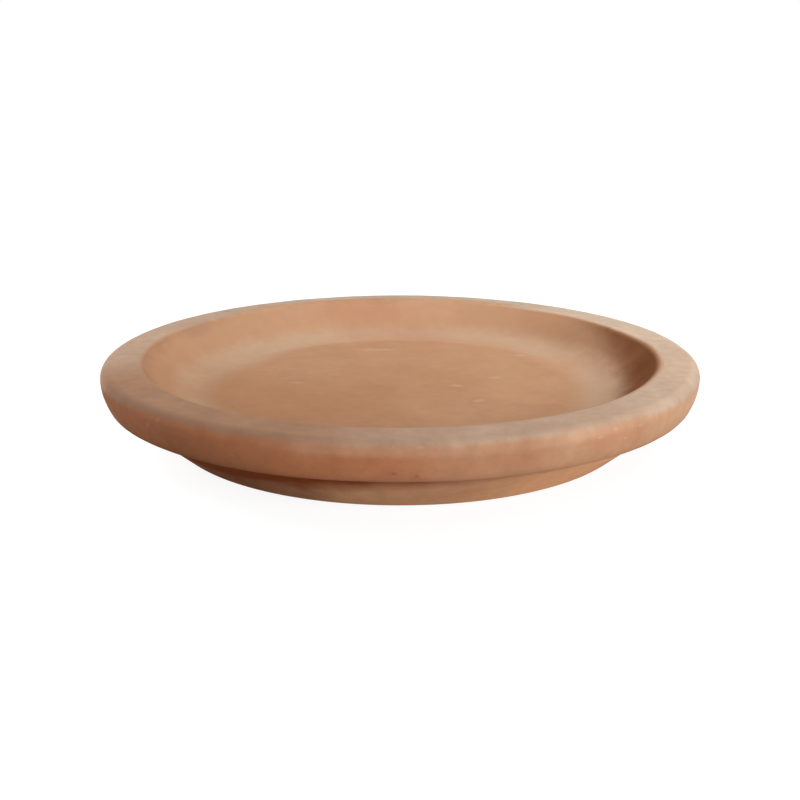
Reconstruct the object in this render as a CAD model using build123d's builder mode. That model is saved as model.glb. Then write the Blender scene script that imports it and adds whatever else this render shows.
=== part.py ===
"""Terracotta plant saucer: one piece of fired clay, turned about its upright axis."""

import os
from math import radians, tan

from build123d import *

os.makedirs("parts", exist_ok=True)

# Driving dimensions, in millimetres, with one angle in degrees.
# Heights stack up from the ground: foot ring, floor, dish.
# Widths step in from the nose, which is the widest line of the rim.
outer_diameter = 300.0  # across the nose
recess_depth = 9.0  # from the ground up to the hollow under the floor
floor_thickness = 13.0
dish_depth = 18.5  # from the floor up to the flat top of the rim

# Rim: a heavy flat-topped collar that overhangs the wall
rim_width = 20.3  # from the nose in to the inner edge of the flat top
shoulder_radius = 5.5  # from the nose up and in to the flat top
brow_radius = 4.0  # from the flat top down into the dish
ledge_drop = 17.5  # from the flat top down to the ledge under the collar
lip_step = 3.3  # from the nose in to the outer edge of the ledge
throat_step = 8.2  # from the nose in to the wall under the ledge

# Dish, outer wall and foot
dish_slope = 45.0  # steepness of the straight inner wall, from level
cove_radius = 32.0  # hollow corner between the inner wall and the flat floor
wall_lean = 27.4  # how far the outer wall leans in from the throat to the ground
foot_ring_width = 16.0
foot_bevel = 1.5  # on both edges of the foot ring
recess_lean = 7.0  # how far the side of the hollow leans in from the foot ring up to the floor

# Heights
floor_height = recess_depth + floor_thickness
crest_height = floor_height + dish_depth
nose_height = crest_height - shoulder_radius
ledge_height = crest_height - ledge_drop

# Radii
outer_radius = outer_diameter / 2
crest_radius = outer_radius - shoulder_radius
brow_corner_radius = outer_radius - rim_width
cove_corner_radius = brow_corner_radius - dish_depth / tan(radians(dish_slope))
lip_radius = outer_radius - lip_step
throat_radius = outer_radius - throat_step
foot_radius = throat_radius - wall_lean
foot_inner_radius = foot_radius - foot_ring_width
recess_radius = foot_inner_radius - recess_lean

# The half section goes from the middle of the hollow, under the foot ring, up the outside,
# over the rim and down the inner wall and its cove to the middle of the floor.
with BuildPart() as saucer:
    with BuildSketch(Plane.XZ):
        with BuildLine():
            Polyline(
                (0, recess_depth),
                (recess_radius, recess_depth),
                (foot_inner_radius, 0),
                (foot_radius, 0),
                (throat_radius, ledge_height),
                (lip_radius, ledge_height),
            )
            TangentArc((outer_radius, nose_height), (lip_radius, ledge_height), tangent=(0, -1))
            JernArc((outer_radius, nose_height), (0, 1), shoulder_radius, 90)
            FilletPolyline(
                (crest_radius, crest_height),
                (brow_corner_radius, crest_height),
                (cove_corner_radius, floor_height),
                (0, floor_height),
                radius=[brow_radius, cove_radius],
            )
            Line((0, floor_height), (0, recess_depth))
        make_face()
    revolve(axis=Axis.Z)
    foot_edges = saucer.edges().filter_by(GeomType.CIRCLE).group_by(Axis.Z)[0]
    chamfer(foot_edges, foot_bevel)

saucer.part.label = "saucer"
export_step(saucer.part, "parts/saucer.step")
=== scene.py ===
"""Terracotta plant saucer: a turned half section, its weathered finish and a plain studio."""

import logging
import math
from dataclasses import dataclass, field
from enum import Enum
from typing import ClassVar, Mapping, Optional, Union

import bpy
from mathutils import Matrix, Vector


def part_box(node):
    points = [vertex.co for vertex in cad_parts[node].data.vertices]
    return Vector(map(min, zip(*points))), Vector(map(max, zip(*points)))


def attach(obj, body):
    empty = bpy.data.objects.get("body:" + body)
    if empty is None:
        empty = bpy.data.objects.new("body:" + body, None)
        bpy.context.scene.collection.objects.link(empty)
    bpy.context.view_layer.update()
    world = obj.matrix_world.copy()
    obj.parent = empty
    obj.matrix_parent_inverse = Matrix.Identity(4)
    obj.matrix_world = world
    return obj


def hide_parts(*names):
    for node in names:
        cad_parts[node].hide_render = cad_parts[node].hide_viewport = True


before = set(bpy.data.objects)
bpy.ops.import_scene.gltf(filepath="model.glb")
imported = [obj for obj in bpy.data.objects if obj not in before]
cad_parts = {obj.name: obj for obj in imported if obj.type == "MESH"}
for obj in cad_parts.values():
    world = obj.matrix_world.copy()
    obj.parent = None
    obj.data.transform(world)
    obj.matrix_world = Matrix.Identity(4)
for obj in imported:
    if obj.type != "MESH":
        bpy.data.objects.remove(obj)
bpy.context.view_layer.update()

MM = 0.001
NODE = "saucer"
BODY = "root"
ALONG = "along"
AXIS_GUARD = 0.01 * MM

log = logging.getLogger("saucer")

Point = tuple[float, float]
Pair = tuple[float, float]
Colour = tuple[float, float, float]


class Station(Enum):
    """Named places along the half section, in the order in which it is traced."""

    THROAT = "inner corner under the rim"
    NOSE = "widest line of the rim"
    CREST = "outer edge of the rim's flat top"
    BROW = "inner edge of the rim's flat top"
    COVE = "middle of the hollow curve at the foot of the dish"
    FLOOR = "edge of the flat floor"
    CENTRE = "middle of the floor"


class Op(Enum):
    """The Math nodes that expressions add."""

    ADD = "ADD"
    SUBTRACT = "SUBTRACT"
    MULTIPLY = "MULTIPLY"
    DIVIDE = "DIVIDE"
    POWER = "POWER"
    ABSOLUTE = "ABSOLUTE"
    MAXIMUM = "MAXIMUM"
    MINIMUM = "MINIMUM"


@dataclass(frozen=True)
class Signal:
    """A node's socket, which can stand in an expression, and the graph that new nodes go into."""

    graph: "Graph"
    socket: bpy.types.NodeSocket

    def _math(self, op: Op, first: "Value", second: "Value" = 0.0) -> "Signal":
        """Adds one Math node."""
        return self.graph.add("ShaderNodeMath", {"operation": op.value}, {0: first, 1: second})

    def __add__(self, other: "Value") -> "Signal":
        """Sum."""
        return self._math(Op.ADD, self, other)

    def __radd__(self, other: "Value") -> "Signal":
        """Sum, after a number."""
        return self._math(Op.ADD, other, self)

    def __sub__(self, other: "Value") -> "Signal":
        """Difference."""
        return self._math(Op.SUBTRACT, self, other)

    def __rsub__(self, other: "Value") -> "Signal":
        """Difference, after a number."""
        return self._math(Op.SUBTRACT, other, self)

    def __mul__(self, other: "Value") -> "Signal":
        """Product."""
        return self._math(Op.MULTIPLY, self, other)

    def __rmul__(self, other: "Value") -> "Signal":
        """Product, after a number."""
        return self._math(Op.MULTIPLY, other, self)

    def __truediv__(self, other: "Value") -> "Signal":
        """Quotient."""
        return self._math(Op.DIVIDE, self, other)

    def __rtruediv__(self, other: "Value") -> "Signal":
        """Quotient, after a number."""
        return self._math(Op.DIVIDE, other, self)

    def __neg__(self) -> "Signal":
        """The same value with its sign turned."""
        return self._math(Op.MULTIPLY, self, -1.0)

    def __pow__(self, other: "Value") -> "Signal":
        """Power."""
        return self._math(Op.POWER, self, other)

    def __abs__(self) -> "Signal":
        """Size without its sign."""
        return self._math(Op.ABSOLUTE, self)

    def larger(self, other: "Value") -> "Signal":
        """The larger of two values."""
        return self._math(Op.MAXIMUM, self, other)

    def smaller(self, other: "Value") -> "Signal":
        """The smaller of two values."""
        return self._math(Op.MINIMUM, self, other)

    def held(self) -> "Signal":
        """This value, held between 0 and 1."""
        return self.larger(0.0).smaller(1.0)

    def swing(self) -> "Signal":
        """How far a cloudy pattern strays from its middle, between -1 and 1."""
        return self * 2.0 - 1.0

    def rise(self, low: "Value", high: "Value") -> "Signal":
        """Goes smoothly from 0 at low to 1 at high."""
        sockets = {"Value": self, "From Min": low, "From Max": high}
        return self.graph.add("ShaderNodeMapRange", {"interpolation_type": "SMOOTHSTEP"}, sockets)

    def fall(self, low: "Value", high: "Value") -> "Signal":
        """Goes smoothly from 1 at low to 0 at high."""
        return 1.0 - self.rise(low, high)

    def blend(self, under: object, over: object) -> "Signal":
        """Mixes two colours: the first shows where this is 0 and the second where it is 1."""
        sockets = {"Factor_Float": self, "A_Color": opaque(under), "B_Color": opaque(over)}
        return self.graph.add("ShaderNodeMix", {"data_type": "RGBA"}, sockets, "Result_Color")

    def scaled(self, factor: "Value") -> "Signal":
        """This vector made longer, or this colour made lighter, by a factor."""
        sockets = {"Vector": self, "Scale": factor}
        return self.graph.add("ShaderNodeVectorMath", {"operation": "SCALE"}, sockets)

    def split(self) -> tuple["Signal", "Signal", "Signal"]:
        """The three parts of this vector."""
        node = self.graph.add("ShaderNodeSeparateXYZ", inputs={"Vector": self}).socket.node
        return tuple(Signal(self.graph, socket) for socket in node.outputs)


Value = Union[Signal, float]


@dataclass(frozen=True)
class Pattern:
    """A cloudy pattern: its features per metre, finer layers and the seed that sets it apart."""

    scale: float
    detail: float
    seed: float


@dataclass(frozen=True)
class Graph:
    """A node tree that is written as expressions."""

    tree: bpy.types.NodeTree

    @classmethod
    def blank(cls, owner: Union[bpy.types.Material, bpy.types.World]) -> "Graph":
        """Starts the nodes of a material or world afresh.

        Args:
            owner: The material or world.

        Returns:
            Its graph, with no nodes yet.
        """
        owner.use_nodes = True
        owner.node_tree.nodes.clear()
        return cls(owner.node_tree)

    @staticmethod
    def _pick(sockets: bpy.types.bpy_prop_collection, key: Union[str, int]) -> bpy.types.NodeSocket:
        """The socket with a number, or the first one with an identifier or name."""
        named = (socket for socket in sockets if key in (socket.identifier, socket.name))
        return sockets[key] if isinstance(key, int) else next(named)

    def add(
        self,
        kind: str,
        settings: Optional[Mapping[str, object]] = None,
        inputs: Optional[Mapping[Union[str, int], object]] = None,
        output: Union[str, int] = 0,
    ) -> Signal:
        """Adds one node of any kind.

        Args:
            kind: The node's type.
            settings: Properties of the node, set before its sockets.
            inputs: Values or links of its sockets, by number, identifier or name.
            output: The output to hand back.

        Returns:
            The chosen output, or the first input of a node that has no outputs.
        """
        node = self.tree.nodes.new(kind)
        for name, value in (settings or {}).items():
            setattr(node, name, value)
        for key, value in (inputs or {}).items():
            socket = self._pick(node.inputs, key)
            if isinstance(value, Signal):
                self.tree.links.new(value.socket, socket)
            else:
                socket.default_value = value
        if len(node.outputs) == 0:
            return Signal(self, node.inputs[0])
        return Signal(self, self._pick(node.outputs, output))

    def noise(self, where: Signal, pattern: Pattern, seed: Value = 0.0) -> Signal:
        """Adds a cloudy pattern, from 0 to 1 and about a half on average.

        Args:
            where: The coordinates.
            pattern: What the pattern is like.
            seed: What is added to the pattern's own seed.

        Returns:
            The pattern's value.
        """
        sockets = {"Vector": where, "W": seed + pattern.seed}
        sockets |= {"Scale": pattern.scale, "Detail": pattern.detail}
        return self.add("ShaderNodeTexNoise", {"noise_dimensions": "4D"}, sockets, "Fac")

    def join(self, x: Value, y: Value, z: Value) -> Signal:
        """A vector from its three parts."""
        return self.add("ShaderNodeCombineXYZ", inputs={"X": x, "Y": y, "Z": z})


def opaque(colour: object) -> object:
    """A written colour with full alpha, and a linked one as it is."""
    return colour if isinstance(colour, Signal) else (*colour, 1.0)


def off_axis(x: Signal, y: Signal) -> Signal:
    """The distance from the upright axis."""
    return (x * x + y * y) ** 0.5


def direction(compass: float, rise: float) -> Vector:
    """The way to a place, in degrees from the front to the right and in degrees above the floor."""
    turn, across = math.radians(compass), math.cos(math.radians(rise))
    return Vector((math.sin(turn) * across, -math.cos(turn) * across, math.sin(math.radians(rise))))


def stand(name: str, data: bpy.types.ID) -> bpy.types.Object:
    """Puts a mesh, lamp or camera into the scene.

    Args:
        name: The object's name.
        data: What it shows.

    Returns:
        The object.
    """
    thing = bpy.data.objects.new(name, data)
    bpy.context.scene.collection.objects.link(thing)
    return thing


class HalfSection:
    """Half of the saucer cut through its axis, as radius and height pairs in metres."""

    def __init__(self, start: Point) -> None:
        """Starts the trace.

        Args:
            start: Its first point, on the axis.
        """
        self.points: list[Point] = [start]
        self.along: list[float] = [0.0]
        self.stations: dict[Station, float] = {}

    def _reach(self, point: Point) -> None:
        """Adds one point and its distance along the trace."""
        self.along.append(self.along[-1] + math.dist(self.points[-1], point))
        self.points.append(point)

    def mark(self, station: Station) -> None:
        """Notes where a named place is."""
        self.stations[station] = self.along[-1]

    def line(self, end: Point, spacing: float) -> None:
        """Goes straight to a point, in equal stretches.

        Args:
            end: The point.
            spacing: The longest stretch between two points.
        """
        start = self.points[-1]
        count = max(1, math.ceil(math.dist(start, end) / spacing))
        for i in range(1, count + 1):
            share = i / count
            self._reach(tuple(a + (b - a) * share for a, b in zip(start, end)))

    def arc(self, centre: Point, end_angle: float, spacing: float) -> None:
        """Goes round a centre, the short way.

        Args:
            centre: The arc's centre.
            end_angle: Where it ends, in radians from the outward direction.
            spacing: The longest stretch between two points.
        """
        start = self.points[-1]
        radius = math.dist(centre, start)
        start_angle = math.atan2(start[1] - centre[1], start[0] - centre[0])
        turn = (end_angle - start_angle + math.pi) % (2 * math.pi) - math.pi
        count = max(1, math.ceil(abs(turn) * radius / spacing))
        for i in range(1, count + 1):
            angle = start_angle + turn * i / count
            across, up = radius * math.cos(angle), radius * math.sin(angle)
            self._reach((centre[0] + across, centre[1] + up))

    def corner(
        self, at: Point, after: Point, radius: float, steps: Pair, station: Optional[Station] = None
    ) -> None:
        """Goes towards a corner and rounds it.

        Args:
            at: The sharp corner.
            after: The corner after it.
            radius: The rounding.
            steps: The longest stretches on the line and on the rounding.
            station: The name of the corner, if it has one, noted at the middle of the rounding.
        """
        corner = Vector(at)
        back = (Vector(self.points[-1]) - corner).normalized()
        on = (Vector(after) - corner).normalized()
        half = back.angle(on) / 2
        start = corner + back * radius / math.tan(half)
        end = corner + on * radius / math.tan(half)
        centre = corner + (back + on).normalized() * radius / math.sin(half)
        self.line(tuple(start), steps[0])
        entry = self.along[-1]
        self.arc(tuple(centre), math.atan2(end.y - centre.y, end.x - centre.x), steps[1])
        if station:
            self.stations[station] = (entry + self.along[-1]) / 2


@dataclass
class SaucerSizes:
    """Sizes of the turned form, in metres, and the slope of the dish in degrees."""

    outer_radius: float
    height: float
    floor_thickness: float = 13.0 * MM
    recess_depth: float = 9.0 * MM
    recess_lean: float = 7.0 * MM
    foot_ring_width: float = 16.0 * MM
    wall_lean: float = 27.4 * MM
    throat_inset: float = 8.2 * MM
    ledge_drop: float = 17.5 * MM
    lip_inset: float = 3.3 * MM
    lip_drop: float = 0.5 * MM
    rim_width: float = 20.3 * MM
    dish_slope: float = 45.0

    # Roundings
    hollow_rounding: float = 4.0 * MM
    foot_rounding: float = 2.2 * MM
    foot_edge_rounding: float = 5.0 * MM
    throat_rounding: float = 3.0 * MM
    lip_rounding: float = 1.2 * MM
    shoulder_rounding: float = 5.5 * MM
    brow_rounding: float = 4.0 * MM
    cove_rounding: float = 32.0 * MM

    # Longest stretches between two points, and the number of points around the axis
    hidden_spacing: float = 7.0 * MM
    wall_spacing: float = 1.6 * MM
    lip_spacing: float = 0.6 * MM
    rim_spacing: float = 0.85 * MM
    brow_spacing: float = 0.5 * MM
    dish_spacing: float = 1.5 * MM
    floor_spacing: float = 3.9 * MM
    around: int = 640


class MarkKind(Enum):
    """What a single mark on the clay is, which settles its colour and its relief."""

    PIT = "small dark hole"
    PIMPLE = "grain that stands proud"
    CHIP = "pale bruise on the rim"
    NOTCH = "worn place on the crest"
    STROKE = "pale stroke on the floor"
    SPECK = "dark spot"


@dataclass(frozen=True)
class Mark:
    """One mark of making or use: its middle and size in millimetres, and its turn in degrees."""

    kind: MarkKind
    x: float
    y: float
    z: float
    length: float
    width: float
    turn: float = 0.0

    SOFT_EDGE: ClassVar[Pair] = (0.4, 1.0)

    @property
    def place(self) -> Vector:
        """Where its middle is, in metres."""
        return Vector((self.x, self.y, self.z)) * MM

    @property
    def reach(self) -> float:
        """Half of its length, in metres."""
        return self.length / 2 * MM

    def over(self, where: Signal) -> Signal:
        """Finds the clay inside the mark, whose length lies along X before it is turned.

        Args:
            where: The coordinates.

        Returns:
            1 inside the mark and 0 away from it.
        """
        half_width = self.width / 2 * MM
        sockets = {
            "Vector": where,
            "Location": self.place,
            "Rotation": (0.0, 0.0, math.radians(self.turn)),
            "Scale": (self.reach, half_width, half_width),
        }
        inside = where.graph.add("ShaderNodeMapping", {"vector_type": "TEXTURE"}, sockets)
        length = {"operation": "LENGTH"}
        off = where.graph.add("ShaderNodeVectorMath", length, {0: inside}, "Value")
        return off.fall(*self.SOFT_EDGE)


@dataclass(frozen=True)
class Marks:
    """The marks that the saucer has, each given one by one."""

    each: tuple[Mark, ...] = (
        Mark(MarkKind.STROKE, 50.6, 14.6, 22.0, 11.0, 6.5, 12.0),
        Mark(MarkKind.STROKE, 38.8, -29.4, 22.0, 9.0, 6.0, 30.0),
        Mark(MarkKind.STROKE, -54.5, 4.5, 22.0, 12.0, 4.6, 5.0),
        Mark(MarkKind.STROKE, -14.0, 76.0, 22.0, 26.0, 8.5),
        Mark(MarkKind.STROKE, 29.1, -1.3, 22.0, 9.0, 4.6, -15.0),
        Mark(MarkKind.STROKE, 68.0, 63.0, 22.0, 8.0, 5.4, 10.0),
        Mark(MarkKind.SPECK, -73.3, 27.5, 22.0, 2.4, 2.4),
        Mark(MarkKind.PIMPLE, -109.1, -102.9, 33.4, 4.4, 4.4),
        Mark(MarkKind.PIMPLE, -103.0, -108.3, 37.4, 3.6, 3.6),
        Mark(MarkKind.PIT, -2.1, -148.7, 27.4, 3.4, 2.2),
        Mark(MarkKind.PIT, 6.9, -148.0, 25.9, 2.6, 2.0),
        Mark(MarkKind.CHIP, 101.9, -110.0, 35.0, 4.0, 2.4, 43.0),
        Mark(MarkKind.CHIP, 82.4, -125.4, 34.6, 4.6, 2.0, 33.0),
        Mark(MarkKind.CHIP, 89.5, -120.1, 36.6, 4.2, 2.0, 37.0),
        Mark(MarkKind.CHIP, 94.6, -116.0, 31.4, 3.0, 2.0, 39.0),
        Mark(MarkKind.CHIP, 8.0, -148.8, 38.1, 5.0, 1.8, 3.0),
        Mark(MarkKind.NOTCH, 103.4, 90.5, 40.5, 7.0, 7.0),
        Mark(MarkKind.NOTCH, 117.8, 54.5, 40.2, 6.0, 6.0),
    )

    def of(self, *kinds: MarkKind) -> list[Mark]:
        """The marks of the given kinds."""
        return [mark for mark in self.each if mark.kind in kinds]


@dataclass(frozen=True)
class Relief:
    """How far the hand-worked surface strays from the true section, in metres."""

    sway: float = 0.55 * MM
    sway_pattern: Pattern = Pattern(11.0, 1.0, 0.0)
    dents: float = 0.18 * MM
    dents_pattern: Pattern = Pattern(48.0, 2.0, 1.0)
    rings: float = 0.04 * MM
    rings_pattern: Pattern = Pattern(1.0, 2.0, 2.0)
    rings_across: float = 330.0
    rings_around: float = 2.0
    crease: float = 0.60 * MM
    crease_pattern: Pattern = Pattern(11.0, 2.0, 3.0)
    crease_wander: float = 2.5 * MM
    crease_edge: Pair = (0.3 * MM, 2.4 * MM)
    crease_patch: Pair = (0.3, 0.6)
    crease_back: Pair = (20.0 * MM, 70.0 * MM)
    pit_depth: float = 0.6 * MM
    chip_depth: float = 0.12 * MM
    notch_depth: float = 0.5 * MM
    pimple_height: float = 0.8 * MM
    ground_edge: Pair = (0.3 * MM, 5.0 * MM)
    seed: float = 4.0


@dataclass
class Ground:
    """What the finish is laid out by: places and directions on the clay, and cloudy patterns."""

    stations: Mapping[Station, float]
    place: Signal
    along: Signal
    east: Signal
    north: Signal
    cloud: Signal
    mottle: Signal
    blotch: Signal
    grain: Signal
    wipe: Signal

    CLOUD: ClassVar[Pattern] = Pattern(14.0, 3.0, 1.0)
    MOTTLE: ClassVar[Pattern] = Pattern(45.0, 4.0, 2.0)
    BLOTCH: ClassVar[Pattern] = Pattern(170.0, 4.0, 3.0)
    GRAIN: ClassVar[Pattern] = Pattern(1100.0, 2.0, 4.0)
    WIPE: ClassVar[Pattern] = Pattern(1.0, 4.0, 5.0)
    WIPE_AROUND: ClassVar[float] = 4.0
    WIPE_ACROSS: ClassVar[float] = 380.0

    @classmethod
    def read(cls, graph: Graph, stations: Mapping[Station, float]) -> "Ground":
        """Adds the nodes that give the directions and patterns.

        Args:
            graph: The finish that they go into.
            stations: Where the named places lie along the section, in metres.

        Returns:
            The places, directions and patterns.
        """
        place = graph.add("ShaderNodeTexCoord", output="Object")
        along = graph.add("ShaderNodeAttribute", {"attribute_name": ALONG}, output="Fac")
        x, y, _ = place.split()
        radius = off_axis(x, y) + AXIS_GUARD
        east, north = x / radius, y / radius
        turned = graph.join(
            east * cls.WIPE_AROUND, north * cls.WIPE_AROUND, along * cls.WIPE_ACROSS
        )
        clouds = (cls.CLOUD, cls.MOTTLE, cls.BLOTCH, cls.GRAIN)
        patterns = [graph.noise(place, pattern) for pattern in clouds]
        patterns.append(graph.noise(turned, cls.WIPE))
        return cls(stations, place, along, east, north, *patterns)

    def towards(self, compass: float) -> Signal:
        """1 in a direction, in degrees from the front to the right, and -1 across from it."""
        turn = math.radians(compass)
        return self.east * math.sin(turn) - self.north * math.cos(turn)

    def frayed(self, coarse: float, fine: float) -> Signal:
        """The distance along the section, strayed so that an edge on it comes out uneven."""
        return self.along + self.mottle.swing() * coarse + self.blotch.swing() * fine


@dataclass(frozen=True)
class Edge:
    """A soft edge across the half section, as two distances from a station in millimetres."""

    station: Station
    start: float
    end: float

    def rise(self, ground: Ground, along: Optional[Signal] = None) -> Signal:
        """0 before the edge and 1 after it, along the section or by a distance that strays."""
        at = ground.stations[self.station]
        return (along or ground.along).rise(at + self.start * MM, at + self.end * MM)

    def fall(self, ground: Ground, along: Optional[Signal] = None) -> Signal:
        """1 before the edge and 0 after it."""
        return 1.0 - self.rise(ground, along)


@dataclass(frozen=True)
class Band:
    """The clay between two soft edges across the half section."""

    first: Edge
    last: Edge

    def over(
        self, ground: Ground, to_first: Optional[Signal] = None, to_last: Optional[Signal] = None
    ) -> Signal:
        """1 between the edges, along the section or by distances that stray."""
        return self.first.rise(ground, to_first) * self.last.fall(ground, to_last)


@dataclass(frozen=True)
class Facing:
    """A side of the saucer that a layer keeps to.

    The compass counts in degrees from the front to the right. Start and full are the cosines off it
    at which the layer starts and is full, and the amount is what it then comes to.
    """

    compass: float
    start: float
    full: float
    amount: float = 1.0

    def on(self, ground: Ground) -> Signal:
        """The amount on that side and 0 away from it."""
        return ground.towards(self.compass).rise(self.start, self.full) * self.amount


@dataclass(frozen=True)
class Lean:
    """How strongly a layer shows, with what it gains to the right and to the back."""

    level: float
    east: float
    north: float

    def over(self, ground: Ground) -> Signal:
        """The strength at each place, before it is held between 0 and 1."""
        return ground.east * self.east + ground.north * self.north + self.level


@dataclass(frozen=True)
class Cover:
    """How much of a layer shows, and what a cloudy pattern adds to that or takes from it."""

    level: float
    patches: float

    def over(self, pattern: Signal) -> Signal:
        """The share at each place."""
        return pattern.swing() * self.patches + self.level


@dataclass(frozen=True)
class WeatheredClay:
    """Fired clay, dusted pale where water dries out of it, with painted light and shade in its
    colour.
    """

    name: str = "weathered_terracotta"

    # Colours
    floor: Colour = (0.495, 0.275, 0.155)
    floor_warm: Colour = (0.430, 0.215, 0.112)
    wall: Colour = (0.590, 0.345, 0.205)
    wall_shade: Colour = (0.398, 0.222, 0.124)
    cove: Colour = (0.560, 0.374, 0.248)
    # Painted shadow of the rim on the right inner wall
    rim_shadow: Colour = (0.198, 0.069, 0.023)
    rim: Colour = (0.428, 0.245, 0.152)
    bloom: Colour = (0.520, 0.398, 0.300)
    shoulder_highlight: Colour = (0.690, 0.455, 0.305)
    shoulder_shade: Colour = (0.250, 0.195, 0.155)
    side: Colour = (0.525, 0.205, 0.096)
    side_shade: Colour = (0.270, 0.106, 0.052)
    side_dust: Colour = (0.505, 0.305, 0.185)
    # Dark end of the wall under the rim, shown as painted shade just under the lip and on the left
    foot: Colour = (0.300, 0.068, 0.018)
    foot_dust_and_light: Colour = (0.690, 0.352, 0.184)
    rose: Colour = (0.480, 0.232, 0.130)
    # Dark for pits, specks and the rim's bare left, and for the painted shade under the brow and
    # under the lip
    soot_and_shade: Colour = (0.180, 0.075, 0.040)
    lime: Colour = (0.700, 0.530, 0.400)

    # Patchiness that several layers share
    cloudiness: float = 0.35
    mottling: float = 0.5

    # Wall and floor of the dish, warmer on the left and in the middle; painted shade darkens the
    # wall except at the back
    wall_top: Edge = Edge(Station.BROW, -0.6, 3.2)
    wall_lean: Lean = Lean(0.95, 0.22, -0.82)
    floor_edge: Edge = Edge(Station.FLOOR, -4.0, 4.0)
    warm_left: Facing = Facing(-50.0, 0.20, 1.0)
    warm_cover: Cover = Cover(0.75, 0.25)
    warm_middle: Edge = Edge(Station.CENTRE, -62.0, -25.0)
    middle_share: float = 0.4

    # Pale cove, narrower at the back and on the left
    cove_band: Band = Band(Edge(Station.COVE, -12.0, 0.0), Edge(Station.FLOOR, -3.0, 15.0))
    cove_fray: Pair = (5.0 * MM, 1.5 * MM)
    cove_back: Facing = Facing(180.0, 0.40, 1.0, 13.0 * MM)
    cove_left_reach: float = 9.0 * MM
    cove_right_reach: float = 2.0 * MM
    cove_cover: Cover = Cover(0.90, 0.20)
    cove_thinning: float = 0.35

    # Painted shade: a dark line under the brow on the left, and the rim's shadow on the right inner
    # wall
    brow_shade_band: Band = Band(Edge(Station.BROW, -0.6, 0.8), Edge(Station.BROW, 1.2, 9.0))
    brow_shade_left: Facing = Facing(-80.0, 0.55, 0.95)
    brow_shade_share: float = 0.22
    rim_shadow_foot: Edge = Edge(Station.COVE, -14.0, 4.0)
    rim_shadow_compass: float = 75.0
    rim_shadow_taper: float = 58.0 * MM
    rim_shadow_right: Facing = Facing(100.0, 0.54, 0.76, 0.95)
    brow_soft: Facing = Facing(85.0, 0.94, 0.995, 1.3 * MM)

    # Rim's side and the leaning wall under it, with painted shade on the left and under the lip
    outer_edge: Edge = Edge(Station.CREST, 0.0, 3.0)
    side_edge: Edge = Edge(Station.THROAT, 0.0, 6.0)
    side_lean: Lean = Lean(0.25, 0.85, 0.0)
    side_left: Facing = Facing(-90.0, 0.70, 0.97)
    foot_lean: Lean = Lean(1.16, 1.20, 0.0)
    foot_top: Edge = Edge(Station.THROAT, -26.0, -2.0)
    foot_fade: float = 1.05
    lip_shade_band: Band = Band(Edge(Station.THROAT, -10.0, 0.0), Edge(Station.THROAT, 2.0, 9.0))
    lip_shade_cover: Cover = Cover(0.47, 0.25)

    # Pale top of the rim, lower on both sides and narrower at the back
    rim_band: Band = Band(Edge(Station.NOSE, 1.8, 5.2), Edge(Station.BROW, -2.4, 0.8))
    rim_fray: Pair = (1.3 * MM, 1.4 * MM)
    rim_left_reach: float = 3.6 * MM
    rim_right: Facing = Facing(75.0, 0.80, 0.97, 2.2 * MM)
    rim_back: Facing = Facing(-174.0, 0.72, 0.86, 6.0 * MM)
    bloom_lean: Lean = Lean(0.63, 0.21, 0.27)
    bare_left: Facing = Facing(-42.0, 0.75, 0.95)
    bare_share: float = 0.34
    bare_dim: float = 0.15

    # Painted highlight on the front of the shoulder, painted shade on its right, and a pale edge
    # along the brow
    shoulder_band: Band = Band(Edge(Station.NOSE, -2.5, 1.5), Edge(Station.NOSE, 3.0, 7.0))
    highlight_front: Facing = Facing(12.0, 0.78, 0.97, 0.36)
    highlight_cover: Cover = Cover(1.0, 0.5)
    shoulder_shade_right: Facing = Facing(88.0, 0.75, 0.97, 0.34)
    brow_band: Band = Band(Edge(Station.BROW, -3.2, -0.8), Edge(Station.BROW, 0.2, 1.2))
    brow_right: Facing = Facing(126.0, 0.86, 0.98, 0.40)

    # Clouds, wiped streaks, the fine mottle and single marks
    rose_span: Pair = (0.45, 0.72)
    rose_share: float = 0.45
    pale_streak: Pair = (0.58, 0.82)
    pale_streak_share: float = 0.11
    dark_streak: Pair = (0.20, 0.42)
    dark_streak_share: float = 0.12
    lightness: float = 1.01
    mottle_share: float = 0.17
    blotch_share: float = 0.155
    grain_share: float = 0.065
    wall_calm: float = 0.6
    floor_calm: float = 0.35
    mark_cover: Cover = Cover(1.0, 0.6)
    bruise_share: float = 0.17
    stroke_share: float = 0.22
    pit_share: float = 0.3

    # Gloss and grit
    roughness: float = 0.92
    rim_polish: float = 0.06
    wipe_polish: float = 0.10
    diffuse_roughness: float = 0.5
    specular: float = 0.04
    grit_grain: float = 0.35
    grit_blotch: float = 0.12
    grit_wipe: float = 0.05
    grit_strength: float = 0.6
    grit_depth: float = 0.35 * MM

    def material(self, stations: Mapping[Station, float], marks: Marks) -> bpy.types.Material:
        """Builds the finish.

        Args:
            stations: Where the named places lie along the section, in metres.
            marks: The single marks that show in it.

        Returns:
            The material.
        """
        material = bpy.data.materials.new(self.name)
        graph = Graph.blank(material)
        ground = Ground.read(graph, stations)
        on_rim = self._on_rim(ground)
        colour = self._dish(ground)
        colour = self._outside(ground, colour)
        colour = self._rim(ground, colour, on_rim)
        colour = self._patterns(ground, colour, on_rim)
        colour = self._marked(ground, colour, marks)
        polish = on_rim * self.rim_polish + ground.wipe * self.wipe_polish
        surface = graph.add(
            "ShaderNodeBsdfPrincipled",
            inputs={
                "Base Color": colour,
                "Roughness": self.roughness - polish,
                "Diffuse Roughness": self.diffuse_roughness,
                "Specular IOR Level": self.specular,
                "Normal": self._grit(ground),
            },
        )
        graph.add("ShaderNodeOutputMaterial", inputs={"Surface": surface})
        return material

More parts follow.
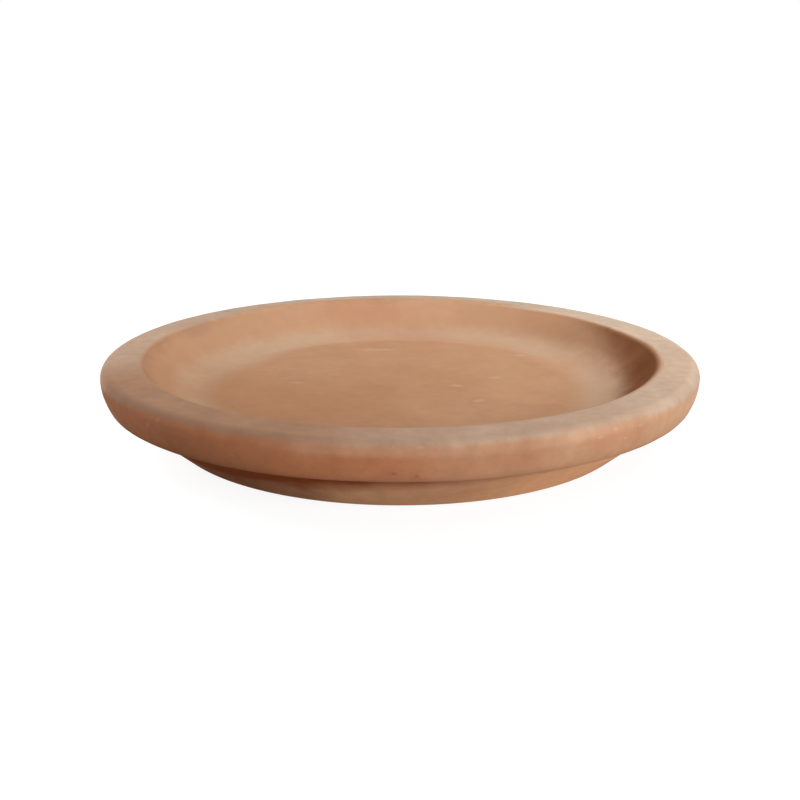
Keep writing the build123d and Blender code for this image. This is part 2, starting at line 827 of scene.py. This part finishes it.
    def _on_rim(self, ground: Ground) -> Signal:
        """Finds the pale top of the rim.

        Args:
            ground: What it is laid out by.

        Returns:
            1 on the pale top and 0 away from it.
        """
        ragged = ground.frayed(*self.rim_fray)
        lowered = self.side_left.on(ground) * self.rim_left_reach + self.rim_right.on(ground)
        narrowed = self.brow_soft.on(ground) + self.rim_back.on(ground)
        return self.rim_band.over(ground, ragged + lowered, ragged + narrowed)

    def _dish(self, ground: Ground) -> Signal:
        """Colours the inner wall, the pale cove and the floor, with painted shade on the wall.

        Args:
            ground: What it is laid out by.

        Returns:
            The colour.
        """
        ragged = ground.frayed(*self.cove_fray)
        warm_side, brow_shade_side = self.warm_left.on(ground), self.brow_shade_left.on(ground)
        # Painted shade: the inner wall is darker everywhere except at the back.
        wall = self.wall_lean.over(ground).held().blend(self.wall, self.wall_shade)
        middle = self.warm_middle.rise(ground, ragged) * self.middle_share
        warm = middle.larger(warm_side * self.warm_cover.over(ground.cloud))
        floor = warm.blend(self.floor, self.floor_warm)
        colour = self.floor_edge.rise(ground).blend(wall, floor)

        narrowed = self.cove_back.on(ground) + warm_side * self.cove_left_reach
        narrowed = narrowed + ground.east * self.cove_right_reach
        in_cove = self.cove_band.over(ground, ragged, ragged + narrowed)
        share = self.cove_cover.over(ground.mottle) - brow_shade_side * self.cove_thinning
        colour = (in_cove * share.held()).blend(colour, self.cove)

        # Painted shade: a dark line just under the brow on the left.
        dark = self.brow_shade_band.over(ground, to_last=ragged) * brow_shade_side * self.brow_shade_share
        colour = dark.blend(colour, self.soot_and_shade)
        # The rim's shadow on the right inner wall is painted: a dark layer from just under the brow
        # down towards the cove.
        softened = ground.along + self.brow_soft.on(ground)
        tapered = ragged + (1.0 - ground.towards(self.rim_shadow_compass)) * self.rim_shadow_taper
        rim_shadow = self.wall_top.rise(ground, softened) * self.rim_shadow_foot.fall(ground, tapered)
        return (rim_shadow * self.rim_shadow_right.on(ground)).blend(colour, self.rim_shadow)

    def _outside(self, ground: Ground, colour: Signal) -> Signal:
        """Colours the rim's side and the wall under it, redder than the dish and dusty on the right;
        painted shade darkens them on the left and under the lip, and painted light adds to the
        wall's paleness.

        Args:
            ground: What it is laid out by.
            colour: What lies under these layers.

        Returns:
            The colour.
        """
        patches = ground.cloud.swing() * self.cloudiness + ground.mottle.swing() * self.mottling
        paleness = (self.side_lean.over(ground) + patches).held()
        side = paleness.blend(self.side, self.side_dust)
        # Painted shade: the side is darker on the left.
        side = self.side_left.on(ground).blend(side, self.side_shade)
        # Painted shade keeps the wall dark just under the lip and on the left; its paleness towards
        # the bottom and the right is partly dust and partly painted light.
        fade = self.foot_top.rise(ground) * self.foot_fade
        paleness = (self.foot_lean.over(ground) - fade + patches).held()
        foot = paleness.blend(self.foot, self.foot_dust_and_light)
        outside = self.side_edge.rise(ground).blend(foot, side)
        colour = self.outer_edge.fall(ground).blend(colour, outside)
        # Painted shade under the lip, where the ledge overhangs the wall.
        lip_shade = self.lip_shade_band.over(ground) * self.lip_shade_cover.over(ground.mottle)
        return lip_shade.blend(colour, self.soot_and_shade)

    def _rim(self, ground: Ground, colour: Signal, on_rim: Signal) -> Signal:
        """Adds the rim's pale top with its bloom, a painted highlight and painted shade along its
        shoulder, and a pale edge along its brow.

        Args:
            ground: What it is laid out by.
            colour: What lies under these layers.
            on_rim: Where the pale top is.

        Returns:
            The colour.
        """
        bare = self.bare_left.on(ground)
        bloom = self.bloom_lean.over(ground) - bare * self.bare_share
        bloom = bloom + ground.cloud.swing() * self.cloudiness
        colour = on_rim.blend(colour, self.rim)
        colour = (on_rim * bloom.held()).blend(colour, self.bloom)
        colour = (on_rim * bare * self.bare_dim).blend(colour, self.soot_and_shade)

        nose = self.shoulder_band.over(ground)
        # Painted shade on the right of the shoulder.
        colour = (nose * self.shoulder_shade_right.on(ground)).blend(colour, self.shoulder_shade)
        # Painted highlight where the front of the shoulder catches the light.
        worn = nose * self.highlight_front.on(ground) * self.highlight_cover.over(ground.mottle)
        colour = worn.blend(colour, self.shoulder_highlight)
        ragged = ground.frayed(*self.rim_fray)
        brow = self.brow_band.over(ground, ragged, ragged) * self.brow_right.on(ground)
        return brow.blend(colour, self.lime)

    def _patterns(self, ground: Ground, colour: Signal, on_rim: Signal) -> Signal:
        """Adds rosy clouds, wiped streaks and a fine mottle.

        Args:
            ground: What it is laid out by.
            colour: What lies under these layers.
            on_rim: Where the pale top of the rim is, which shows no clouds.

        Returns:
            The colour.
        """
        rosy = ground.cloud.rise(*self.rose_span) * (1.0 - on_rim) * self.rose_share
        colour = rosy.blend(colour, self.rose)
        pale = ground.wipe.rise(*self.pale_streak) * self.pale_streak_share
        colour = pale.blend(colour, self.lime)
        dark = ground.wipe.fall(*self.dark_streak) * self.dark_streak_share
        colour = dark.blend(colour, self.side)
        on_floor = self.floor_edge.rise(ground)
        on_wall = self.wall_top.rise(ground) * (1.0 - on_floor)
        calm = on_wall * self.wall_calm + on_floor * self.floor_calm
        uneven = ground.mottle.swing() * self.mottle_share
        uneven = uneven + ground.blotch.swing() * self.blotch_share
        uneven = uneven + ground.grain.swing() * self.grain_share
        return colour.scaled(self.lightness + uneven * (1.0 - calm))

    def _marked(self, ground: Ground, colour: Signal, marks: Marks) -> Signal:
        """Adds the single marks.

        Args:
            ground: What it is laid out by.
            colour: What lies under them.
            marks: The marks.

        Returns:
            The colour.
        """
        uneven = self.mark_cover.over(ground.blotch).held()
        layers = (
            (self.lime, self.bruise_share, marks.of(MarkKind.CHIP, MarkKind.PIMPLE)),
            (self.lime, self.stroke_share, marks.of(MarkKind.STROKE)),
            (self.soot_and_shade, self.pit_share, marks.of(MarkKind.PIT, MarkKind.SPECK)),
        )
        for paint, share, some in layers:
            for mark in some:
                colour = (mark.over(ground.place) * uneven * share).blend(colour, paint)
        return colour

    def _grit(self, ground: Ground) -> Signal:
        """Roughens the surface with fine grit and wiped lines.

        Args:
            ground: What it is laid out by.

        Returns:
            The normal.
        """
        height = ground.grain * self.grit_grain + ground.blotch * self.grit_blotch
        height = height + ground.wipe * self.grit_wipe
        sockets = {"Strength": self.grit_strength, "Distance": self.grit_depth, "Height": height}
        return height.graph.add("ShaderNodeBump", inputs=sockets)


@dataclass
class Saucer:
    """The saucer: one piece of turned and fired clay."""

    sizes: SaucerSizes
    marks: Marks = field(default_factory=Marks)
    relief: Relief = field(default_factory=Relief)
    finish: WeatheredClay = field(default_factory=WeatheredClay)

    MERGE_DISTANCE: ClassVar[float] = 0.005 * MM

    def half_section(self) -> HalfSection:
        """Traces the clay from the hollow under the floor, over the rim, to the middle of the dish.

        Returns:
            The half section.
        """
        sizes = self.sizes
        floor_height = sizes.recess_depth + sizes.floor_thickness
        nose_height = sizes.height - sizes.shoulder_rounding
        ledge_height = sizes.height - sizes.ledge_drop
        lip_bottom = ledge_height - sizes.lip_drop
        crest_radius = sizes.outer_radius - sizes.shoulder_rounding
        brow_radius = sizes.outer_radius - sizes.rim_width
        dish_run = (sizes.height - floor_height) / math.tan(math.radians(sizes.dish_slope))
        throat_radius = sizes.outer_radius - sizes.throat_inset
        foot_radius = throat_radius - sizes.wall_lean
        foot_inner_radius = foot_radius - sizes.foot_ring_width

        hollow = (foot_inner_radius - sizes.recess_lean, sizes.recess_depth)
        foot_inner = (foot_inner_radius, 0.0)
        foot_outer = (foot_radius, 0.0)
        throat = (throat_radius, ledge_height)
        lip = (sizes.outer_radius - sizes.lip_inset, lip_bottom)
        brow = (brow_radius, sizes.height)
        cove = (brow_radius - dish_run, floor_height)
        middle = (0.0, floor_height)

        hidden = (sizes.hidden_spacing, sizes.wall_spacing)
        shown = (sizes.wall_spacing, sizes.rim_spacing)
        section = HalfSection((0.0, sizes.recess_depth))
        section.corner(hollow, foot_inner, sizes.hollow_rounding, hidden)
        section.corner(foot_inner, foot_outer, sizes.foot_rounding, hidden)
        section.corner(foot_outer, throat, sizes.foot_edge_rounding, shown)
        section.corner(throat, lip, sizes.throat_rounding, shown, Station.THROAT)

        # The lip is a small arc that ends the ledge below it and touches the bulging side above it.
        side_rise = nose_height - ledge_height
        side_radius = (sizes.lip_inset**2 + side_rise**2) / (2 * sizes.lip_inset)
        side_centre = (sizes.outer_radius - side_radius, nose_height)
        lip_height = lip_bottom + sizes.lip_rounding
        side_drop = nose_height - lip_height
        lip_reach = math.sqrt((side_radius - sizes.lip_rounding) ** 2 - side_drop**2)
        lip_centre = (side_centre[0] + lip_reach, lip_height)
        section.line((lip_centre[0], lip_bottom), sizes.wall_spacing)
        section.arc(lip_centre, math.atan2(-side_drop, lip_reach), sizes.lip_spacing)
        section.arc(side_centre, 0.0, sizes.rim_spacing)
        section.mark(Station.NOSE)
        section.arc((crest_radius, nose_height), math.pi / 2, sizes.rim_spacing)
        section.mark(Station.CREST)

        # The flat top ends in a crisp brow, from which the dish slopes down into a wide cove.
        to_brow = (sizes.wall_spacing, sizes.brow_spacing)
        to_cove = (sizes.wall_spacing, sizes.dish_spacing)
        section.corner(brow, cove, sizes.brow_rounding, to_brow, Station.BROW)
        section.corner(cove, middle, sizes.cove_rounding, to_cove, Station.COVE)
        section.mark(Station.FLOOR)
        section.line(middle, sizes.floor_spacing)
        section.mark(Station.CENTRE)
        return section

    def outline(self, section: HalfSection) -> bpy.types.Object:
        """Makes the half section an object of bare edges that carries the distance along it.

        Args:
            section: The half section.

        Returns:
            The object, upright on the X axis.
        """
        mesh = bpy.data.meshes.new("half_section")
        corners = [(radius, 0.0, height) for radius, height in section.points]
        edges = [(i, i + 1) for i in range(len(corners) - 1)]
        mesh.from_pydata(corners, edges, [])
        mesh.attributes.new(ALONG, "FLOAT", "POINT").data.foreach_set("value", section.along)
        return stand("saucer_clay", mesh)

    def lathe(self, stations: Mapping[Station, float]) -> bpy.types.GeometryNodeTree:
        """Builds the tree that turns the outline about the upright axis and works the surface.

        Args:
            stations: Where the named places lie along the section, in metres.

        Returns:
            The node tree.
        """
        tree = bpy.data.node_groups.new("turned_clay", "GeometryNodeTree")
        sockets = {"Outline": "Geometry", "Around": "Int", "Clay": "Material"}
        sockets |= dict.fromkeys(("Radius", "Sway", "Dents", "Rings", "Crease", "Seed"), "Float")
        for name, kind in sockets.items():
            tree.interface.new_socket(name, in_out="INPUT", socket_type=f"NodeSocket{kind}")
        tree.interface.new_socket("Saucer", in_out="OUTPUT", socket_type="NodeSocketGeometry")
        graph = Graph(tree)
        given = {name: graph.add("NodeGroupInput", output=name) for name in sockets}

        # The outline is laid flat, with the widest line at its origin, and swept round a ring.
        x, _, z = graph.add("GeometryNodeInputPosition").split()
        flat = {"Geometry": given["Outline"], "Position": graph.join(x - given["Radius"], -z, 0.0)}
        laid = graph.add("GeometryNodeSetPosition", inputs=flat)
        profile = graph.add("GeometryNodeMeshToCurve", inputs={"Mesh": laid})
        size = {"Resolution": given["Around"], "Radius": given["Radius"]}
        ring = graph.add("GeometryNodeCurvePrimitiveCircle", {"mode": "RADIUS"}, size)
        clay = graph.add("GeometryNodeCurveToMesh", inputs={"Curve": ring, "Profile Curve": profile})
        steps = (
            ("MergeByDistance", {"Distance": self.MERGE_DISTANCE}),
            ("SetPosition", {"Offset": self._working(graph, given, stations)}),
            ("SetShadeSmooth", {"Shade Smooth": True}),
            ("RealizeInstances", {}),
            ("SetMaterial", {"Material": given["Clay"]}),
        )
        for kind, settled in steps:
            clay = graph.add(f"GeometryNode{kind}", inputs={"Geometry": clay, **settled})
        graph.add("NodeGroupOutput", inputs={"Saucer": clay})
        return tree

    def _working(
        self, graph: Graph, given: Mapping[str, Signal], stations: Mapping[Station, float]
    ) -> Signal:
        """The offset that hand work, drying and use leave on the turned form.

        Args:
            graph: The tree that turns the clay.
            given: Its inputs by name.
            stations: Where the named places lie along the section, in metres.

        Returns:
            The offset vector of each point.
        """
        relief, seed = self.relief, given["Seed"]
        place = graph.add("GeometryNodeInputPosition")
        normal = graph.add("GeometryNodeInputNormal")
        named = {"Name": ALONG}
        along = graph.add("GeometryNodeInputNamedAttribute", {"data_type": "FLOAT"}, named)
        x, y, z = place.split()
        around = relief.rings_around / (off_axis(x, y) + AXIS_GUARD)
        turned = graph.join(x * around, y * around, along * relief.rings_across)

        sway = graph.noise(place, relief.sway_pattern, seed).swing()
        dents = graph.noise(place, relief.dents_pattern, seed).swing()
        rings = graph.noise(turned, relief.rings_pattern, seed).swing()
        patch = graph.noise(place, relief.crease_pattern, seed)
        off_crease = abs(along - stations[Station.FLOOR] - patch.swing() * relief.crease_wander)
        crease = off_crease.fall(*relief.crease_edge) * patch.rise(*relief.crease_patch)
        crease = crease * y.rise(*relief.crease_back)

        lift = sway * given["Sway"] + dents * given["Dents"] + rings * given["Rings"]
        lift = (lift - crease * given["Crease"]) * z.rise(*relief.ground_edge)
        heights = {
            MarkKind.PIT: -relief.pit_depth,
            MarkKind.CHIP: -relief.chip_depth,
            MarkKind.NOTCH: -relief.notch_depth,
            MarkKind.PIMPLE: relief.pimple_height,
        }
        for mark in self.marks.of(*heights):
            ends = {0: place, 1: mark.place}
            apart = graph.add("ShaderNodeVectorMath", {"operation": "DISTANCE"}, ends, "Value")
            lift = lift + apart.fall(0.0, mark.reach) * heights[mark.kind]
        return normal.scaled(lift)

    def build(self) -> bpy.types.Object:
        """Turns the clay and dresses it.

        Returns:
            The saucer as a plain mesh at the origin.
        """
        section = self.half_section()
        piece = self.outline(section)
        tree = self.lathe(section.stations)
        modifier = piece.modifiers.new("lathe", "NODES")
        modifier.node_group = tree
        values = {
            "Around": self.sizes.around,
            "Radius": self.sizes.outer_radius,
            "Sway": self.relief.sway,
            "Dents": self.relief.dents,
            "Rings": self.relief.rings,
            "Crease": self.relief.crease,
            "Seed": self.relief.seed,
            "Clay": self.finish.material(section.stations, self.marks),
        }
        for item in tree.interface.items_tree:
            if item.in_out == "INPUT" and item.name in values:
                modifier[item.identifier] = values[item.name]
        piece.update_tag()
        evaluated = piece.evaluated_get(bpy.context.evaluated_depsgraph_get())
        mesh = bpy.data.meshes.new_from_object(evaluated)
        piece.modifiers.clear()
        piece.data = mesh
        mesh.name = piece.name
        return piece


@dataclass(frozen=True)
class Softbox:
    """A round soft lamp that looks at the saucer: its place, its width and how bright it is."""

    name: str
    compass: float
    rise: float
    distance: float
    width: float
    level: float

    def light(self, target: Vector) -> None:
        """Sets the lamp up.

        Args:
            target: The point that it looks at.
        """
        lamp = bpy.data.lights.new(self.name, "AREA")
        lamp.shape = "DISK"
        lamp.size = self.width
        # At this energy a white card at the target, square to the lamp, comes out at the level.
        lamp.energy = self.level * (math.pi * self.distance) ** 2
        towards = direction(self.compass, self.rise)
        holder = stand(self.name, lamp)
        holder.location = target + towards * self.distance
        holder.rotation_euler = towards.to_track_quat("Z", "Y").to_euler()
        holder.visible_camera = False


@dataclass
class Studio:
    """A plain pale floor, soft lamps and the camera at the photograph's viewing angle."""

    target_height: float = 18.7 * MM
    camera_distance: float = 600.0 * MM
    camera_rise: float = 15.9
    lens: float = 52.0
    sensor: float = 36.0
    shift_up: float = -0.01118
    floor_reach: float = 8.0
    floor_grey: float = 0.31
    floor_glow: float = 0.88
    floor_shadow: float = 0.26
    shadow_span: Pair = (0.20, 0.40)
    ambient: float = 0.01
    lamps: tuple[Softbox, ...] = (
        Softbox("window", compass=36.0, rise=16.0, distance=1.10, width=0.60, level=0.80),
        Softbox("right_card", compass=90.0, rise=50.0, distance=0.35, width=0.25, level=0.545),
        Softbox("front_card", compass=45.0, rise=45.0, distance=0.60, width=0.36, level=0.11),
        Softbox("left_card", compass=270.0, rise=15.0, distance=0.35, width=0.25, level=0.70),
        Softbox("back_card", compass=180.0, rise=40.0, distance=0.60, width=0.36, level=0.23),
    )

    SHOWING: ClassVar[tuple[str, ...]] = ("Is Camera Ray", "Is Glossy Ray", "Is Transmission Ray")

    @property
    def target(self) -> Vector:
        """The point on the axis that the camera and the lamps look at."""
        return Vector((0.0, 0.0, self.target_height))

    def _seen(self, graph: Graph) -> Signal:
        """1 for rays that show the surroundings to the camera, also through gloss or glass."""
        rays = [graph.add("ShaderNodeLightPath", output=ray) for ray in self.SHOWING]
        return rays[0].larger(rays[1]).larger(rays[2])

    def floor(self) -> bpy.types.Object:
        """Lays the floor, which the camera sees white apart from the saucer's shadow.

        Returns:
            The floor.
        """
        material = bpy.data.materials.new("studio_floor")
        graph = Graph.blank(material)
        plain, shadow = (
            graph.add("ShaderNodeBsdfDiffuse", inputs={"Color": opaque((grey,) * 3)})
            for grey in (self.floor_grey, self.floor_shadow)
        )
        x, y, _ = graph.add("ShaderNodeTexCoord", output="Object").split()
        far = off_axis(x, y).rise(*self.shadow_span)
        strength = self.floor_glow + far * (1.0 - self.floor_glow)
        glow = graph.add("ShaderNodeEmission", inputs={"Strength": strength})
        white = graph.add("ShaderNodeAddShader", inputs={0: shadow, 1: glow})
        mixed = graph.add("ShaderNodeMixShader", inputs={0: self._seen(graph), 1: plain, 2: white})
        graph.add("ShaderNodeOutputMaterial", inputs={"Surface": mixed})

        mesh = bpy.data.meshes.new("studio_floor")
        turns = ((-1, -1), (1, -1), (1, 1), (-1, 1))
        corners = [(x * self.floor_reach, y * self.floor_reach, 0.0) for x, y in turns]
        mesh.from_pydata(corners, [], [range(len(corners))])
        mesh.materials.append(material)
        return stand("studio_floor", mesh)

    def world(self) -> None:
        """Surrounds the scene with white to look at and a little even light."""
        world = bpy.data.worlds.new("studio")
        graph = Graph.blank(world)
        seen = self._seen(graph)
        strength = seen + (1.0 - seen) * self.ambient
        sky = {"Color": opaque((1.0,) * 3), "Strength": strength}
        glow = graph.add("ShaderNodeBackground", inputs=sky)
        graph.add("ShaderNodeOutputWorld", inputs={"Surface": glow})
        bpy.context.scene.world = world

    def camera(self) -> None:
        """Stands the camera in front of the saucer and a little above it."""
        data = bpy.data.cameras.new("camera")
        data.lens = self.lens
        data.sensor_width = self.sensor
        data.shift_y = self.shift_up
        camera = stand("camera", data)
        camera.location = self.target + direction(0.0, self.camera_rise) * self.camera_distance
        camera.rotation_euler = (math.pi / 2 - math.radians(self.camera_rise), 0.0, 0.0)
        bpy.context.scene.camera = camera

    def build(self) -> bpy.types.Object:
        """Sets the studio up.

        Returns:
            The floor.
        """
        for lamp in self.lamps:
            lamp.light(self.target)
        self.world()
        self.camera()
        bpy.context.scene.view_settings.view_transform = "Standard"
        return self.floor()


def main() -> None:
    """Builds the saucer and the studio around it."""
    logging.basicConfig(level=logging.INFO, format="%(name)s: %(message)s")
    _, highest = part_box(NODE)
    saucer = Saucer(SaucerSizes(outer_radius=highest.x, height=highest.z))
    piece = saucer.build()
    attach(piece, BODY)
    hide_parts(NODE)
    log.info("%s: %d faces", piece.name, len(piece.data.polygons))
    floor = Studio().build()
    log.info("%s: pale floor, white to the camera", floor.name)


if __name__ == "__main__":
    main()
